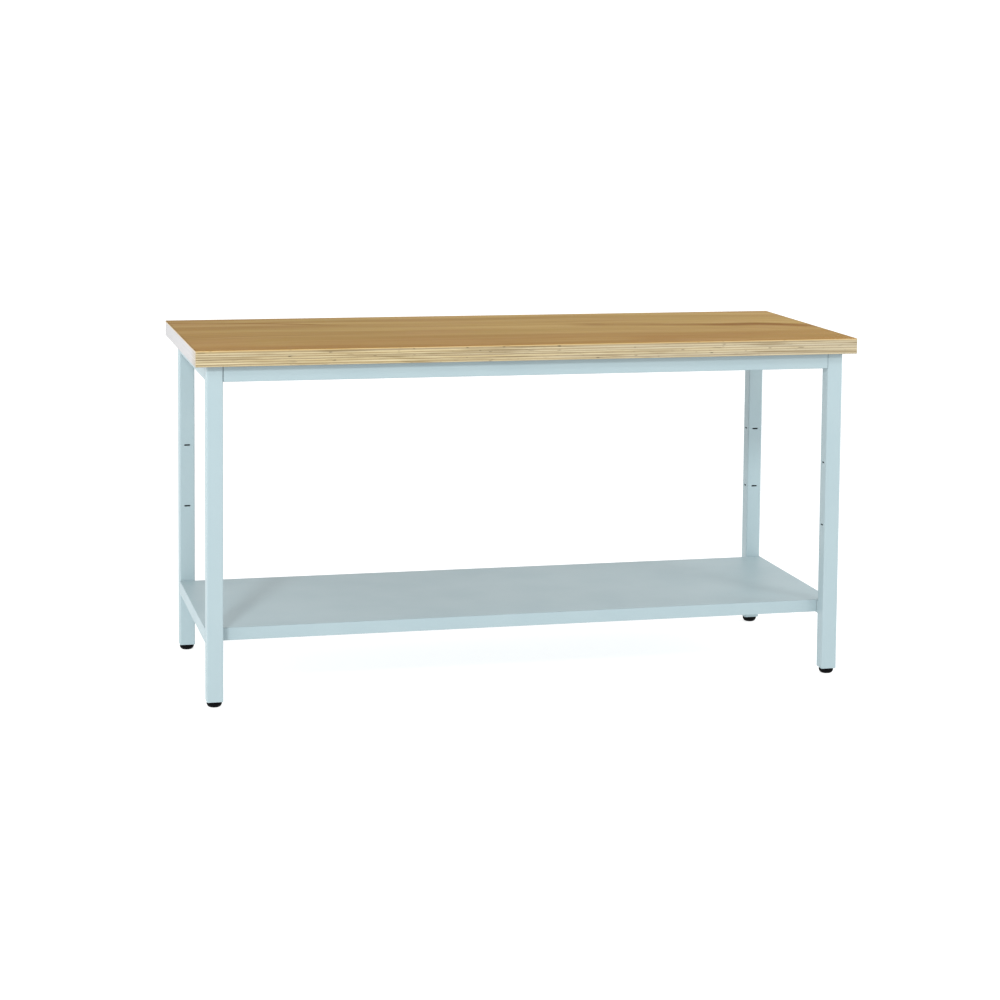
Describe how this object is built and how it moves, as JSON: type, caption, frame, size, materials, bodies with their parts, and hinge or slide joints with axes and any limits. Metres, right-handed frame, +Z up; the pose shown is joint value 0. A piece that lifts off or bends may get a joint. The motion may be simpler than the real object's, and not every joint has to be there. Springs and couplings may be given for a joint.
{
  "type": "assembly table",
  "caption": "Workshop assembly table with a thick plywood worktop, a square-tube steel frame, a folded steel shelf and levelling feet.",
  "frame": {"origin": "on the floor, under the middle of the worktop", "axes": "+X along the table to its right, +Y from its front to its rear, +Z up"},
  "size_m": [1.7, 0.7, 0.885],
  "materials": {
    "plywood": "plywood with a clear satin varnish, plies open at the edges",
    "powder_coat": "pale blue-grey powder coat, satin, fine orange peel",
    "zinc_steel": "bright zinc-plated steel",
    "black_plastic": "matt black moulded nylon"
  },
  "bodies": {
    "frame": {"worktop": "plywood", "front_left_leg": "powder_coat", "front_right_leg": "powder_coat", "rear_left_leg": "powder_coat", "rear_right_leg": "powder_coat", "left_top_rail": "powder_coat", "right_top_rail": "powder_coat", "left_lower_rail": "powder_coat", "right_lower_rail": "powder_coat", "front_apron": "powder_coat", "rear_apron": "powder_coat", "shelf": "powder_coat", "front_shelf_stiffener": "powder_coat", "rear_shelf_stiffener": "powder_coat", "front_left_apron_end_plate": "powder_coat", "front_right_apron_end_plate": "powder_coat", "rear_left_apron_end_plate": "powder_coat", "rear_right_apron_end_plate": "powder_coat", "apron_bolts": "zinc_steel", "apron_rivet_nuts": "zinc_steel", "shelf_bolts": "zinc_steel", "shelf_weld_nuts": "zinc_steel", "worktop_screws": "zinc_steel", "front_left_foot_nut": "zinc_steel", "front_right_foot_nut": "zinc_steel", "rear_left_foot_nut": "zinc_steel", "rear_right_foot_nut": "zinc_steel", "front_left_foot_insert": "black_plastic", "front_right_foot_insert": "black_plastic", "rear_left_foot_insert": "black_plastic", "rear_right_foot_insert": "black_plastic"},
    "front_left_pad": {"front_left_foot_pad": "black_plastic"},
    "front_left_stud": {"front_left_foot_stud": "zinc_steel"},
    "front_right_pad": {"front_right_foot_pad": "black_plastic"},
    "front_right_stud": {"front_right_foot_stud": "zinc_steel"},
    "rear_left_pad": {"rear_left_foot_pad": "black_plastic"},
    "rear_left_stud": {"rear_left_foot_stud": "zinc_steel"},
    "rear_right_pad": {"rear_right_foot_pad": "black_plastic"},
    "rear_right_stud": {"rear_right_foot_stud": "zinc_steel"}
  },
  "joints": [
    {"name": "front_left_level", "type": "slide", "parent": "frame", "child": "front_left_pad", "axis": [0, 0, -1], "range_m": [0, 0.015]},
    {"name": "front_left_screw", "type": "hinge", "parent": "front_left_pad", "child": "front_left_stud", "pos_m": [-0.8, -0.305, 0.02], "axis": [0, 0, -1], "range_deg": [0, 3600]},
    {"name": "front_right_level", "type": "slide", "parent": "frame", "child": "front_right_pad", "axis": [0, 0, -1], "range_m": [0, 0.015]},
    {"name": "front_right_screw", "type": "hinge", "parent": "front_right_pad", "child": "front_right_stud", "pos_m": [0.8, -0.305, 0.02], "axis": [0, 0, -1], "range_deg": [0, 3600]},
    {"name": "rear_left_level", "type": "slide", "parent": "frame", "child": "rear_left_pad", "axis": [0, 0, -1], "range_m": [0, 0.015]},
    {"name": "rear_left_screw", "type": "hinge", "parent": "rear_left_pad", "child": "rear_left_stud", "pos_m": [-0.8, 0.305, 0.02], "axis": [0, 0, -1], "range_deg": [0, 3600]},
    {"name": "rear_right_level", "type": "slide", "parent": "frame", "child": "rear_right_pad", "axis": [0, 0, -1], "range_m": [0, 0.015]},
    {"name": "rear_right_screw", "type": "hinge", "parent": "rear_right_pad", "child": "rear_right_stud", "pos_m": [0.8, 0.305, 0.02], "axis": [0, 0, -1], "range_deg": [0, 3600]}
  ],
  "couplings": [
    {"joint": "front_left_screw", "follows": "front_left_level", "rad_per_m": 4188.7},
    {"joint": "front_right_screw", "follows": "front_right_level", "rad_per_m": 4188.7},
    {"joint": "rear_left_screw", "follows": "rear_left_level", "rad_per_m": 4188.7},
    {"joint": "rear_right_screw", "follows": "rear_right_level", "rad_per_m": 4188.7}
  ]
}
